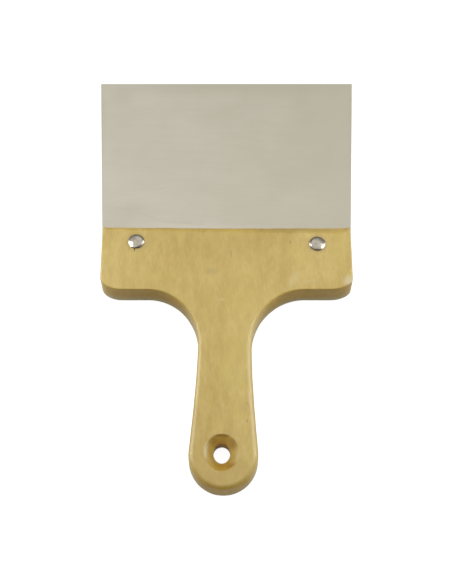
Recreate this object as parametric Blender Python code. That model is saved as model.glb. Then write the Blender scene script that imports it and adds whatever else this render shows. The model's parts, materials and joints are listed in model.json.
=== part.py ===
"""Drywall taping knife with a one-piece wooden handle.

A satin steel sheet stands in a saw kerf in the front edge of a flat hardwood handle. Two two-piece
rivets hold it there: each is a domed tube pushed through from the front and a domed pin pressed
into it from the back. The tool lies on its back. X runs across it, +Y points at the working edge,
+Z out of its front face, and Z = 0 is the surface under the back rivet heads.
"""

import math

import bmesh
import bpy

# Driving dimensions, in metres and radians.
GAP = 0.0003

EDGE_WIDTH = 0.180
BLADE_REACH = 0.1212
BLADE_FLARE = math.radians(3.0)
SHEET_THICKNESS = 0.0006
TANG_DEPTH = 0.0222

WOOD_THICKNESS = 0.018
EDGE_ROUND = 0.002
HEAD_WIDTH = 0.1655
HEAD_DEPTH = 0.0472
FRONT_CORNER = 0.0025
REAR_CORNERS = {"left": (0.013, 0.010), "right": (0.0125, 0.009)}
FILLET_ACROSS = 0.0349
FILLET_ALONG = 0.039
WAIST_WIDTH = 0.0344
BULB_WIDTH = 0.043
BULB_DISTANCE = 0.1584
GRIP_HANDLES = (0.385, 0.945)
HANDLE_LENGTH = 0.1808
GRIP_OFFSET = 0.00195
LEAN_POWER = 0.6

HOLE_PLACE = (-0.00295, 0.1578)
HOLE_STRETCH = 1.13
BORE_RADIUS = 0.0052
BORE_OFFSET = 0.0015
COUNTERSINK_RADIUS = 0.01045
COUNTERSINK_DEPTH = 0.0068

RIVET_PLACES = {"left": (-0.0597, 0.0120), "right": (0.0600, 0.0137)}
RIVET_HEAD_RADIUS = 0.0055
RIVET_HEAD_RISE = 0.0019
RIVET_HEAD_LIP = 0.0004
TUBE_RADIUS = 0.00275
TUBE_BORE = 0.0018
TUBE_END_MARGIN = 0.0015
PIN_END_MARGIN = 0.0025

# How finely the curves are divided, and the angle from which an edge is shaded crisp.
CORNER_STEPS = 7
FILLET_STEPS = 20
GRIP_STEPS = 14
END_STEPS = 18
TURNED_STEPS = 36
DOME_STEPS = 6
ROUND_STEPS = 3
SHARP_ANGLE = math.radians(35.0)

# Levels and places that follow from the driving dimensions.
BACK_FACE = RIVET_HEAD_RISE + GAP
FRONT_FACE = BACK_FACE + WOOD_THICKNESS
MID_PLANE = (BACK_FACE + FRONT_FACE) / 2
WOOD_FRONT = (HANDLE_LENGTH + BLADE_REACH) / 2 - BLADE_REACH


def remove_all_objects():
    for old in list(bpy.data.objects):
        bpy.data.objects.remove(old, do_unlink=True)


def make_material(name, color, roughness, metallic):
    """A Principled finish in one colour."""
    finish = bpy.data.materials.new(name)
    finish.use_nodes = True
    shader = finish.node_tree.nodes["Principled BSDF"]
    shader.inputs["Base Color"].default_value = (*color, 1.0)
    shader.inputs["Roughness"].default_value = roughness
    shader.inputs["Metallic"].default_value = metallic
    finish.diffuse_color = (*color, 1.0)
    return finish


def make_object(name, mesh_data, finish):
    """Turn a bmesh into a named, smooth-shaded object with one finish."""
    mesh = bpy.data.meshes.new(name)
    bmesh.ops.recalc_face_normals(mesh_data, faces=mesh_data.faces)
    mesh_data.to_mesh(mesh)
    mesh_data.free()
    mesh.shade_smooth()
    mesh.set_sharp_from_angle(angle=SHARP_ANGLE)
    if finish:
        mesh.materials.append(finish)
    piece = bpy.data.objects.new(name, mesh)
    bpy.context.scene.collection.objects.link(piece)
    return piece


def hide_cutter(cutter):
    cutter.hide_render = True
    cutter.display_type = "WIRE"


def cut(piece, cutters):
    """Subtract closed shapes from a piece, and shade the result with crisp edges at the cuts."""
    for cutter in cutters:
        hide_cutter(cutter)
        boolean = piece.modifiers.new(cutter.name, "BOOLEAN")
        boolean.operation = "DIFFERENCE"
        boolean.solver = "EXACT"
        boolean.object = cutter
    evaluated = piece.evaluated_get(bpy.context.evaluated_depsgraph_get())
    whole = piece.data
    piece.data = bpy.data.meshes.new_from_object(evaluated)
    piece.data.name = piece.name
    piece.modifiers.clear()
    bpy.data.meshes.remove(whole)
    piece.data.set_sharp_from_angle(angle=SHARP_ANGLE)


def prism(outline, low, high):
    """A closed upright solid over an outline of (x, y) points, from one height to another."""
    solid = bmesh.new()
    floor = solid.faces.new([solid.verts.new((x, y, low)) for x, y in outline])
    raised = bmesh.ops.extrude_face_region(solid, geom=[floor])["geom"]
    top = [part for part in raised if isinstance(part, bmesh.types.BMVert)]
    bmesh.ops.translate(solid, verts=top, vec=(0.0, 0.0, high - low))
    return solid


def turned(profile, place, stretch=1.0):
    """Spin a profile of (radius, height) points, which starts and ends on its axis, about Z.

    A stretch above 1 makes the shape oval, longer along Y than across X.
    """
    solid = bmesh.new()
    points = [solid.verts.new((radius, 0.0, height)) for radius, height in profile]
    edges = [solid.edges.new(pair) for pair in zip(points, points[1:])]
    bmesh.ops.spin(
        solid,
        geom=points + edges,
        cent=(0.0, 0.0, 0.0),
        axis=(0.0, 0.0, 1.0),
        angle=math.tau,
        steps=TURNED_STEPS,
    )
    bmesh.ops.remove_doubles(solid, verts=solid.verts, dist=1e-6)
    bmesh.ops.scale(solid, vec=(1.0, stretch, 1.0), verts=solid.verts)
    bmesh.ops.translate(solid, vec=(*place, 0.0), verts=solid.verts)
    return solid


def arc(centre, radii, start, end, steps):
    """Points on an elliptical arc, both ends included."""
    angles = [start + (end - start) * step / steps for step in range(steps + 1)]
    return [
        (centre[0] + radii[0] * math.cos(angle), centre[1] + radii[1] * math.sin(angle))
        for angle in angles
    ]


def bezier(points, steps):
    """Points on a cubic Bezier curve, without its two ends."""
    curve = []
    for step in range(1, steps):
        t = step / steps
        weights = ((1 - t) ** 3, 3 * t * (1 - t) ** 2, 3 * t * t * (1 - t), t**3)
        curve.append(tuple(sum(w * p[axis] for w, p in zip(weights, points)) for axis in (0, 1)))
    return curve


def half_outline(rear_corner):
    """One side of the handle as (half width, distance behind the head's front edge) points.

    The rear corner is given by its radii across and along the tool.
    """
    head, waist, bulb = HEAD_WIDTH / 2, WAIST_WIDTH / 2, BULB_WIDTH / 2
    fillet_end = HEAD_DEPTH + FILLET_ALONG
    quarter = math.pi / 2
    side = arc(
        (head - FRONT_CORNER, FRONT_CORNER),
        (FRONT_CORNER, FRONT_CORNER),
        -quarter,
        0.0,
        CORNER_STEPS,
    )
    side += arc(
        (head - rear_corner[0], HEAD_DEPTH - rear_corner[1]),
        rear_corner,
        0.0,
        quarter,
        CORNER_STEPS,
    )
    side += arc(
        (waist + FILLET_ACROSS, fillet_end),
        (FILLET_ACROSS, FILLET_ALONG),
        -quarter,
        -2 * quarter,
        FILLET_STEPS,
    )
    run = BULB_DISTANCE - fillet_end
    grip_controls = (
        (waist, fillet_end),
        (waist, fillet_end + GRIP_HANDLES[0] * run),
        (bulb, fillet_end + GRIP_HANDLES[1] * run),
        (bulb, BULB_DISTANCE),
    )
    side += bezier(grip_controls, GRIP_STEPS)
    end_radii = (bulb, HANDLE_LENGTH - BULB_DISTANCE)
    return side + arc((0.0, BULB_DISTANCE), end_radii, 0.0, quarter, END_STEPS)[:-1]


def lean(distance):
    """How far the grip's centre line lies from the head's, at a distance behind the front edge."""
    share = (distance - HEAD_DEPTH) / (BULB_DISTANCE - HEAD_DEPTH)
    return -GRIP_OFFSET * min(1.0, max(0.0, share)) ** LEAN_POWER


def handle_outline():
    """The whole handle's outline, as (x, y) points."""
    right = half_outline(REAR_CORNERS["right"])
    tip = [(0.0, HANDLE_LENGTH)]
    left = [(-half, distance) for half, distance in reversed(half_outline(REAR_CORNERS["left"]))]
    return [(half + lean(distance), WOOD_FRONT - distance) for half, distance in right + tip + left]


def make_kerf_cutter():
    half_gap = SHEET_THICKNESS / 2 + GAP
    overshoot = 0.005
    half_width = HEAD_WIDTH / 2 + overshoot
    back, front = WOOD_FRONT - TANG_DEPTH - GAP, WOOD_FRONT + overshoot
    outline = [(-half_width, back), (half_width, back), (half_width, front), (-half_width, front)]
    solid = prism(outline, MID_PLANE - half_gap, MID_PLANE + half_gap)
    return make_object("kerf_cutter", solid, None)


def make_hole_cutters():
    """The hanging hole: a slightly oval bore, and a countersink a little off its centre."""
    overshoot = 0.001
    low, high = BACK_FACE - overshoot, FRONT_FACE + overshoot
    slope = (COUNTERSINK_RADIUS - BORE_RADIUS) / COUNTERSINK_DEPTH
    wide = COUNTERSINK_RADIUS + slope * overshoot
    narrow = COUNTERSINK_RADIUS - slope * WOOD_THICKNESS / 2
    bore = [(0.0, high), (BORE_RADIUS, high), (BORE_RADIUS, low), (0.0, low)]
    cones = [(0.0, high), (wide, high), (narrow, MID_PLANE), (wide, low), (0.0, low)]
    x, y = HOLE_PLACE[0], WOOD_FRONT - HOLE_PLACE[1]
    bore_solid = turned(bore, (x, y + BORE_OFFSET), HOLE_STRETCH)
    cones_solid = turned(cones, (x, y), HOLE_STRETCH)
    return [
        make_object("bore_cutter", bore_solid, None),
        make_object("countersink_cutter", cones_solid, None),
    ]


def make_shank_cutter(side, place):
    """Room for one rivet's shank through wood and steel."""
    radius, overshoot = TUBE_RADIUS + GAP, 0.001
    low, high = BACK_FACE - overshoot, FRONT_FACE + overshoot
    profile = [(0.0, high), (radius, high), (radius, low), (0.0, low)]
    return make_object(f"shank_cutter_{side}", turned(profile, place), None)


def make_handle(wood, shank_cutters):
    """The wooden handle: an extruded outline with softened edges, a kerf and three holes."""
    solid = prism(handle_outline(), BACK_FACE, FRONT_FACE)
    rim = [
        edge
        for edge in solid.edges
        if abs(edge.verts[0].co.z - edge.verts[1].co.z) < 1e-7
    ]
    bmesh.ops.bevel(
        solid, geom=rim, offset=EDGE_ROUND, segments=ROUND_STEPS, profile=0.5, affect="EDGES"
    )
    handle = make_object("handle", solid, wood)
    cut(handle, (make_kerf_cutter(), *make_hole_cutters(), *shank_cutters))
    return handle


def make_blade(steel, shank_cutters):
    """The steel sheet, which widens evenly from the end of its tang to the working edge."""
    back, front = WOOD_FRONT - TANG_DEPTH, WOOD_FRONT + BLADE_REACH
    wide = EDGE_WIDTH / 2
    narrow = wide - (front - back) * math.tan(BLADE_FLARE)
    outline = [(-narrow, back), (narrow, back), (wide, front), (-wide, front)]
    half_sheet = SHEET_THICKNESS / 2
    solid = prism(outline, MID_PLANE - half_sheet, MID_PLANE + half_sheet)
    blade = make_object("blade", solid, steel)
    cut(blade, shank_cutters)
    return blade


def dome_profile():
    """A rivet head's crown as (radius, height above the head's seat), from its top to its lip."""
    rise = RIVET_HEAD_RISE - RIVET_HEAD_LIP
    sphere = (RIVET_HEAD_RADIUS**2 + rise**2) / (2 * rise)
    spread = math.asin(RIVET_HEAD_RADIUS / sphere)
    crown = []
    for step in range(DOME_STEPS + 1):
        angle = spread * step / DOME_STEPS
        crown.append((sphere * math.sin(angle), RIVET_HEAD_RISE - sphere * (1 - math.cos(angle))))
    return crown


def make_rivet_tube(side, place, nickel):
    """The front half of a rivet: a domed head on a hollow shank that is open at the back."""
    seat = FRONT_FACE + GAP
    end = BACK_FACE + TUBE_END_MARGIN
    profile = [(radius, seat + height) for radius, height in dome_profile()]
    profile += [
        (RIVET_HEAD_RADIUS, seat),
        (TUBE_RADIUS, seat),
        (TUBE_RADIUS, end),
        (TUBE_BORE, end),
        (TUBE_BORE, FRONT_FACE),
        (0.0, FRONT_FACE),
    ]
    return make_object(f"rivet_tube_{side}", turned(profile, place), nickel)


def make_rivet_pin(side, place, nickel):
    """The back half of a rivet: a domed head on a solid pin that stands in the tube."""
    seat = BACK_FACE - GAP
    top = FRONT_FACE - PIN_END_MARGIN
    pin_radius = TUBE_BORE - GAP
    profile = [(0.0, top), (pin_radius, top), (pin_radius, seat), (RIVET_HEAD_RADIUS, seat)]
    profile += [(radius, seat - height) for radius, height in reversed(dome_profile())]
    return make_object(f"rivet_pin_{side}", turned(profile, place), nickel)


def main():
    remove_all_objects()
    wood = make_material("lacquered_hardwood", (0.56, 0.42, 0.17), 0.42, 0.0)
    steel = make_material("satin_steel", (0.60, 0.58, 0.52), 0.35, 1.0)
    nickel = make_material("nickel_plate", (0.72, 0.70, 0.64), 0.18, 1.0)
    places = {
        side: (across, WOOD_FRONT - distance)
        for side, (across, distance) in RIVET_PLACES.items()
    }
    shank_cutters = [make_shank_cutter(side, place) for side, place in places.items()]
    make_handle(wood, shank_cutters)
    make_blade(steel, shank_cutters)
    for side, place in places.items():
        make_rivet_tube(side, place, nickel)
        make_rivet_pin(side, place, nickel)


main()
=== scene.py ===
"""Looks of a drywall taping knife: a satin steel sheet riveted into a lacquered wooden handle.

All lengths are in metres. X runs across the tool, +Y points at the working edge and +Z out of the
front face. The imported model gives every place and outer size, and the classes below hold the finer
ones. Each piece is its own closed mesh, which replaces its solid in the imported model.
"""

from __future__ import annotations

import json
import logging
import math
from collections.abc import Iterable, Mapping, Sequence
from dataclasses import dataclass, field
from enum import Enum

import bmesh
import bpy
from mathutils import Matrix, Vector, noise


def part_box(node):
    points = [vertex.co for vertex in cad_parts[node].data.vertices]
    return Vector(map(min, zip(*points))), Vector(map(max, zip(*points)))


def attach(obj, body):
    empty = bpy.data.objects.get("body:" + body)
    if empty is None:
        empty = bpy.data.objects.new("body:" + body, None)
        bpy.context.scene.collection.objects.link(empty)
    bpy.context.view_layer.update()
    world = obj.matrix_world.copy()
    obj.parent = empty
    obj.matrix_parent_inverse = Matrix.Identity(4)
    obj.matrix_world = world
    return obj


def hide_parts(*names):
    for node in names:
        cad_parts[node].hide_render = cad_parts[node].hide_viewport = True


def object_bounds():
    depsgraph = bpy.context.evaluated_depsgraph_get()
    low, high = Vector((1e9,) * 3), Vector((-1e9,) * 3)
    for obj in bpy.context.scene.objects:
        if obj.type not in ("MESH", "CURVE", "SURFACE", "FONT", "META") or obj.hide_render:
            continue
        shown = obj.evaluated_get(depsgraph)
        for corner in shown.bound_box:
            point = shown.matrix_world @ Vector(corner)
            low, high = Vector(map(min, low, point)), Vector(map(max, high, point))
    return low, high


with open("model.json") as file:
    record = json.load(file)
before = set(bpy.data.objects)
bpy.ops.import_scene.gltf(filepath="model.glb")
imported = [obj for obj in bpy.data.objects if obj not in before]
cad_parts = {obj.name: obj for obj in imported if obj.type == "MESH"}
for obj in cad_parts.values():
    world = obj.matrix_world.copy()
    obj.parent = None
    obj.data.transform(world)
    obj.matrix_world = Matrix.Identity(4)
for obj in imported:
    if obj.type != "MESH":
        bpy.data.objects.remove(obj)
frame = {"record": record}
CAD_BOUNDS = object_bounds()

logging.basicConfig(level=logging.INFO, format="%(name)s: %(message)s")
log = logging.getLogger("taping_knife")

MM = 0.001
ROOT_BODY = "root"
MERGE_DISTANCE = 0.002 * MM
ORIGIN = (0.0, 0.0, 0.0)
WHITE = (1.0, 1.0, 1.0)

Colour = tuple[float, float, float]
Place = tuple[float, float, float]
Point = tuple[float, float]
Socket = bpy.types.NodeSocket
Tree = bpy.types.NodeTree
Material = bpy.types.Material
Piece = bpy.types.Object
Value = Socket | float | int | bool | str | Sequence[float] | Vector


class Side(Enum):
    """The two sides of the tool, seen from the front with the working edge up."""

    LEFT = "left"
    RIGHT = "right"


class RivetHalf(Enum):
    """The two halves of a rivet: the front one is hollow and takes the back one's pin."""

    TUBE = "tube"
    PIN = "pin"


class Zone(Enum):
    """The stretches of one side of the handle's outline, from the front edge to the end."""

    FRONT_EDGE = "front_edge"
    FRONT_CORNER = "front_corner"
    HEAD_SIDE = "head_side"
    REAR_CORNER = "rear_corner"
    SHOULDER = "shoulder"
    FILLET = "fillet"
    GRIP = "grip"
    END = "end"


def socket_label(name: str) -> str:
    """Turn a keyword such as head_radius into a socket's label, Head Radius."""
    return name.replace("_", " ").title()


class Graph:
    """A node tree while it is being wired, for shaders and for geometry alike."""

    def __init__(self, tree: Tree) -> None:
        """Keep the tree to wire."""
        self.tree = tree

    def node(
        self, kind: str, inputs: Mapping[str | int, Value] | None = None, **settings: object
    ) -> bpy.types.Node:
        """Add a node and fill in its sockets.

        Args:
            kind: The node's type, such as "ShaderNodeTexNoise".
            inputs: Values or output sockets, by the input's name or number.
            settings: The node's own properties.

        Returns:
            The new node.
        """
        node = self.tree.nodes.new(kind)
        for name, value in settings.items():
            setattr(node, name, value)
        for key, value in (inputs or {}).items():
            self.feed(node.inputs[key], value)
        return node

    def feed(self, socket: Socket, value: Value) -> None:
        """Link an output to an input socket, or set the socket's own value.

        Args:
            socket: The input socket.
            value: An output socket to link, or a plain value.
        """
        if isinstance(value, bpy.types.NodeSocket):
            self.tree.links.new(value, socket)
        else:
            socket.default_value = value

    def math(self, operation: str, *values: Value, clamp: bool = False) -> Socket:
        """Do one sum with numbers, and keep the result between 0 and 1 if it is to be clamped."""
        inputs = dict(enumerate(values))
        return self.node("ShaderNodeMath", inputs, operation=operation, use_clamp=clamp).outputs[0]

    def times(self, first: Value, second: Value) -> Socket:
        """Multiply two numbers."""
        return self.math("MULTIPLY", first, second)

    def plus(self, first: Value, second: Value) -> Socket:
        """Add two numbers."""
        return self.math("ADD", first, second)

    def minus(self, first: Value, second: Value, clamp: bool = False) -> Socket:
        """Take the second number from the first."""
        return self.math("SUBTRACT", first, second, clamp=clamp)

    def vector(self, operation: str, *values: Value, output: str = "Vector") -> Socket:
        """Do one sum with vectors; its output is "Value" for a length or a dot product."""
        inputs = dict(enumerate(values))
        return self.node("ShaderNodeVectorMath", inputs, operation=operation).outputs[output]

    def scaled(self, vector: Value, factor: Value) -> Socket:
        """Multiply a vector by a number."""
        inputs = {"Vector": vector, "Scale": factor}
        return self.node("ShaderNodeVectorMath", inputs, operation="SCALE").outputs["Vector"]

    def combined(self, x: Value, y: Value, z: Value) -> Socket:
        """Make a vector from three numbers."""
        return self.node("ShaderNodeCombineXYZ", {0: x, 1: y, 2: z}).outputs[0]

    def separated(self, vector: Value) -> bpy.types.NodeOutputs:
        """Take a vector's three numbers apart, as X, Y and Z."""
        return self.node("ShaderNodeSeparateXYZ", {0: vector}).outputs

    def moved(self, geometry: Socket, move: Value, turn: Value = ORIGIN) -> Socket:
        """Turn geometry about the origin and move it."""
        inputs = {"Geometry": geometry, "Translation": move, "Rotation": turn}
        return self.node("GeometryNodeTransform", inputs).outputs[0]

    def remap(
        self, value: Value, start: Value, end: Value, low: Value = 0.0, high: Value = 1.0
    ) -> Socket:
        """Turn a range of values smoothly into another one, and clamp it.

        Args:
            value: The value to turn.
            start: Where the incoming range starts.
            end: Where the incoming range ends.
            low: What the start becomes.
            high: What the end becomes.

        Returns:
            The result's socket.
        """
        inputs = {0: value, 1: start, 2: end, 3: low, 4: high}
        return self.node("ShaderNodeMapRange", inputs, interpolation_type="SMOOTHSTEP").outputs[0]

    def mix(self, factor: Value, first: Value, second: Value, blend: str = "MIX") -> Socket:
        """Blend two colours.

        Args:
            factor: How much of the second colour shows.
            first: The first colour.
            second: The second colour.
            blend: The Mix node's blend type.

        Returns:
            The blended colour's socket.
        """
        node = self.node("ShaderNodeMix", data_type="RGBA", blend_type=blend)
        for index, value in ((0, factor), (6, first), (7, second)):
            colour = isinstance(value, tuple) and len(value) == 3
            self.feed(node.inputs[index], (*value, 1.0) if colour else value)
        return node.outputs[2]

    def group(self, effect: Tree, **inputs: Value) -> Socket:
        """Place a shared shader group.

        Args:
            effect: The group.
            inputs: Values or sockets by the input's keyword.

        Returns:
            The group's output.
        """
        node = self.node("ShaderNodeGroup")
        node.node_tree = effect
        for name, value in inputs.items():
            self.feed(node.inputs[socket_label(name)], value)
        return node.outputs[0]


class Group(Graph):
    """A node group with named inputs and one output.

    Attributes:
        take: The inputs' sockets, by keyword.
        output: The output's socket.
    """

    def __init__(self, name: str, output: str, **inputs: object) -> None:
        """Start the group, for geometry if its output is called that and for shaders otherwise.

        Args:
            name: The group's name.
            output: The output's name.
            inputs: Standing values by keyword: a number, a vector, or None for a material.
        """
        geometry = output == "Geometry"
        kind = "GeometryNodeTree" if geometry else "ShaderNodeTree"
        super().__init__(bpy.data.node_groups.new(name, kind))
        new_socket = self.tree.interface.new_socket
        kinds = {float: "NodeSocketFloat", tuple: "NodeSocketVector"}
        for keyword, standing in inputs.items():
            kind = kinds.get(type(standing), "NodeSocketMaterial")
            socket = new_socket(socket_label(keyword), in_out="INPUT", socket_type=kind)
            if standing is not None:
                socket.default_value = standing
        kind = "NodeSocketGeometry" if geometry else "NodeSocketFloat"
        new_socket(output, in_out="OUTPUT", socket_type=kind)
        given = self.node("NodeGroupInput").outputs
        self.take = {keyword: given[socket_label(keyword)] for keyword in inputs}
        self.output = self.node("NodeGroupOutput").inputs[output]

    def close(self, value: Socket) -> Tree:
        """Feed the group's output and hand over its tree."""
        self.feed(self.output, value)
        return self.tree

    def close_mesh(self, geometry: Socket, material: Socket) -> Tree:
        """End a geometry group with real instances and a material.

        Args:
            geometry: The geometry.
            material: The material.

        Returns:
            The group's tree.
        """
        real = self.node("GeometryNodeRealizeInstances", {0: geometry}).outputs[0]
        inputs = {"Geometry": real, "Material": material}
        return self.close(self.node("GeometryNodeSetMaterial", inputs).outputs[0])


@dataclass(frozen=True)
class Effects:
    """The shader groups that more than one finish uses.

    Attributes:
        streaks: Noise drawn out along the axes, for wood grain and rolling lines.
        smudges: Soft patches with clean surface between them.
        mark: A soft-edged oval at one place, for knots, smears and stains, and for patches of
            painted shade and painted highlight.
    """

    streaks: Tree
    smudges: Tree
    mark: Tree

    @classmethod
    def build(cls) -> Effects:
        """Make all the groups."""
        return cls(cls.make_streaks(), cls.make_smudges(), cls.make_mark())

    @staticmethod
    def make_streaks() -> Tree:
        """Wire noise with its own frequency along each axis, spread to fill 0 to 1.

        Returns:
            The group.
        """
        shape = {"frequency": (100.0, 10.0, 100.0), "detail": 2.0, "spread": 0.25}
        group = Group("directional_streaks", "Streaks", vector=ORIGIN, **shape)
        take = group.take
        stretched = group.vector("MULTIPLY", take["vector"], take["frequency"])
        inputs = {"Vector": stretched, "Scale": 1.0, "Detail": take["detail"]}
        raw = group.node("ShaderNodeTexNoise", inputs).outputs["Fac"]
        low, high = group.minus(0.5, take["spread"]), group.plus(0.5, take["spread"])
        return group.close(group.remap(raw, low, high))

    @staticmethod
    def make_smudges() -> Tree:
        """Wire soft patches of a given size that cover a given share of the surface.

        Returns:
            The group.
        """
        group = Group("smudges", "Smudges", vector=ORIGIN, patches=30.0, cover=0.5)
        inputs = {"Vector": group.take["vector"], "Scale": group.take["patches"], "Detail": 3.0}
        inputs |= {"Roughness": 0.6, "Distortion": 0.4}
        raw = group.node("ShaderNodeTexNoise", inputs).outputs["Fac"]
        start = group.minus(0.85, group.times(group.take["cover"], 0.5))
        return group.close(group.remap(raw, start, group.plus(start, 0.18)))

    @staticmethod
    def make_mark() -> Tree:
        """Wire an oval spot with its place, its reach from the middle on each axis, and its turn.

        Returns:
            The group.
        """
        shape = {"place": ORIGIN, "reach": (0.01, 0.01, 0.01), "turn": 0.0, "softness": 0.8}
        group = Group("oval_mark", "Mark", vector=ORIGIN, **shape)
        take = group.take
        offset = group.vector("SUBTRACT", take["vector"], take["place"])
        inputs = {"Vector": offset, "Angle": take["turn"]}
        level = group.node("ShaderNodeVectorRotate", inputs, rotation_type="Z_AXIS").outputs[0]
        share = group.vector("DIVIDE", level, take["reach"])
        away = group.vector("LENGTH", share, output="Value")
        return group.close(group.remap(away, 1.0, group.minus(1.0, take["softness"])))


@dataclass(frozen=True)
class Mark:
    """One spot, smear or fleck on a finish, or a patch of painted shade or painted highlight.

    Attributes:
        place: Its middle.
        reach: How far it reaches from the middle across and along the tool.
        tint: Its colour.
        strength: How much of the colour shows in the middle.
        turn: Its turn about Z, in radians.
        softness: The share of it that fades out.
        depth: How far it reaches along Z.
    """

    place: Place
    reach: Point
    tint: Colour
    strength: float
    turn: float = 0.0
    softness: float = 0.9
    depth: float = 3 * MM

    def apply(self, graph: Graph, effects: Effects, vector: Socket, colour: Socket) -> Socket:
        """Lay the mark over a colour.

        Args:
            graph: The material's graph.
            effects: The shared groups.
            vector: Object coordinates.
            colour: The colour so far.

        Returns:
            The colour with the mark on it.
        """
        mask = graph.group(
            effects.mark,
            vector=vector,
            place=self.place,
            reach=(*self.reach, self.depth),
            turn=self.turn,
            softness=self.softness,
        )
        return graph.mix(graph.times(mask, self.strength), colour, self.tint)


def start_material(name: str) -> tuple[Material, Graph, bpy.types.Node]:
    """Make a material with a bare Principled shader.

    Args:
        name: The material's name.

    Returns:
        The material, its graph and its shader node.
    """
    material = bpy.data.materials.new(name)
    material.use_nodes = True
    graph = Graph(material.node_tree)
    return material, graph, material.node_tree.nodes["Principled BSDF"]


class Surface:
    """A piece's material while it is being wired."""

    def __init__(self, name: str, effects: Effects) -> None:
        """Start the material.

        Args:
            name: The material's name.
            effects: The shared groups.
        """
        self.material, self.graph, shader = start_material(name)
        self.inputs = shader.inputs
        self.effects = effects
        coordinates = self.graph.node("ShaderNodeTexCoord").outputs
        self.vector, self.normal = coordinates["Object"], coordinates["Normal"]

    def streaks(self, frequency: Place, detail: float, spread: float) -> Socket:
        """Place the streaks group."""
        shape = {"frequency": frequency, "detail": detail, "spread": spread}
        return self.graph.group(self.effects.streaks, vector=self.vector, **shape)

    def smudges(self, patches: float, cover: float) -> Socket:
        """Place the smudges group."""
        group = self.effects.smudges
        return self.graph.group(group, vector=self.vector, patches=patches, cover=cover)

    def marked(self, colour: Socket, marks: Iterable[Mark]) -> Socket:
        """Lay marks over a colour, the first one lowest.

        Args:
            colour: The colour.
            marks: The marks.

        Returns:
            The colour with the marks on it.
        """
        for mark in marks:
            colour = mark.apply(self.graph, self.effects, self.vector, colour)
        return colour

    def finish(
        self, colour: Socket, roughness: Socket, relief: tuple[Socket, float, float]
    ) -> None:
        """Feed the shader.

        Args:
            colour: The base colour.
            roughness: The roughness.
            relief: The bump's height, its strength and its distance.
        """
        height, strength, distance = relief
        inputs = {"Height": height, "Strength": strength, "Distance": distance}
        bump = self.graph.node("ShaderNodeBump", inputs).outputs[0]
        for name, value in (("Base Color", colour), ("Roughness", roughness), ("Normal", bump)):
            self.graph.feed(self.inputs[name], value)


@dataclass(frozen=True)
class LacqueredHardwood:
    """Pale fine-grained hardwood under a clear satin lacquer that has yellowed a little.

    Attributes:
        pale: The wood's colour in its lightest growth.
        deep: The wood's colour in its darkest growth.
        sallow: The wood's colour where the lacquer has yellowed in patches.
        fibre: What the fine dark fibres multiply the colour by.
        end_grain: What the ends of the fibres multiply the colour by.
        bored: The colour inside the hanging hole: end grain that drank the lacquer, and painted
            shade on the walls that face along the tool.
        floor_bounce_grey: The greyer colour painted on end grain near the back face, as painted
            light from the floor below.
        roughness: The roughness of the lacquered wood.
        lacquer_roughness: The roughness of the clear coat on it.
    """

    pale: Colour = (0.765, 0.574, 0.173)
    deep: Colour = (0.580, 0.404, 0.080)
    sallow: Colour = (0.67, 0.52, 0.105)
    fibre: Colour = (0.80, 0.75, 0.62)
    end_grain: Colour = (0.87, 0.75, 0.35)
    bored: Colour = (0.54, 0.30, 0.045)
    floor_bounce_grey: Colour = (0.60, 0.56, 0.34)
    roughness: float = 0.45
    lacquer_roughness: float = 0.28

    def long_grain(self, surface: Surface) -> tuple[Socket, Socket, Socket]:
        """Colour the long grain, which runs along the tool.

        Args:
            surface: The material.

        Returns:
            The colour, the fibres' mask and the smudges' mask.
        """
        graph = surface.graph
        growth = surface.streaks((34.0, 16.0, 30.0), 4.0, 0.2)
        bands = surface.streaks((200.0, 75.0, 140.0), 4.0, 0.2)
        fibres = surface.streaks((950.0, 230.0, 900.0), 3.0, 0.2)
        tone = graph.plus(graph.times(growth, 0.6), graph.times(bands, 0.4))
        colour = graph.mix(tone, self.deep, self.pale)
        colour = graph.mix(graph.times(fibres, 0.4), colour, self.fibre, "MULTIPLY")
        smudges = surface.smudges(45.0, 0.7)
        return graph.mix(graph.times(smudges, 0.35), colour, self.sallow), fibres, smudges

    def make(self, effects: Effects, marks: Iterable[Mark], place: Value, reach: Value) -> Material:
        """Build the material.

        Args:
            effects: The shared groups.
            marks: Flecks, smears and stains, and patches of painted shade and painted highlight, the
                first one lowest.
            place: The hanging hole's middle.
            reach: The hole's reach from there on each axis.

        Returns:
            The material.
        """
        surface = Surface("lacquered_hardwood", effects)
        graph = surface.graph
        colour, fibres, smudges = self.long_grain(surface)
        colour = surface.marked(colour, marks)

        squareness = graph.math("ABSOLUTE", graph.separated(surface.normal)["Y"])
        cut_ends = graph.remap(squareness, 0.3, 0.85)
        pores = surface.streaks((1500.0, 400.0, 1500.0), 3.0, 0.2)
        speckled = graph.times(cut_ends, graph.remap(pores, 0.0, 1.0, 0.7, 1.0))
        colour = graph.mix(speckled, colour, self.end_grain, "MULTIPLY")
        # Painted light: end grain turns greyer towards the back face, standing in for light bounced
        # up from the floor.
        height = graph.separated(surface.vector)["Z"]
        floor_bounce_share = graph.times(cut_ends, graph.remap(height, 12 * MM, 2 * MM, 0.0, 0.85))
        colour = graph.mix(floor_bounce_share, colour, self.floor_bounce_grey)

        # Inside the hanging hole: darker orange for end grain that drank the lacquer, partly painted
        # shade, strongest on the walls that face along the tool.
        hole = {"place": place, "reach": reach, "softness": 0.12}
        inside = graph.group(effects.mark, vector=surface.vector, **hole)
        soak_and_shade = graph.math("MULTIPLY_ADD", cut_ends, 0.66, 0.06)
        colour = graph.mix(graph.times(inside, soak_and_shade), colour, self.bored)

        roughness = graph.math("MULTIPLY_ADD", smudges, 0.08, self.roughness)
        relief = graph.plus(graph.times(fibres, 0.6), pores)
        surface.finish(colour, roughness, (relief, 0.12, 0.06 * MM))
        lacquer = graph.minus(1.0, graph.times(cut_ends, 0.65))
        graph.feed(surface.inputs["Coat Weight"], lacquer)
        surface.inputs["Coat Roughness"].default_value = self.lacquer_roughness
        return surface.material


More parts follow.
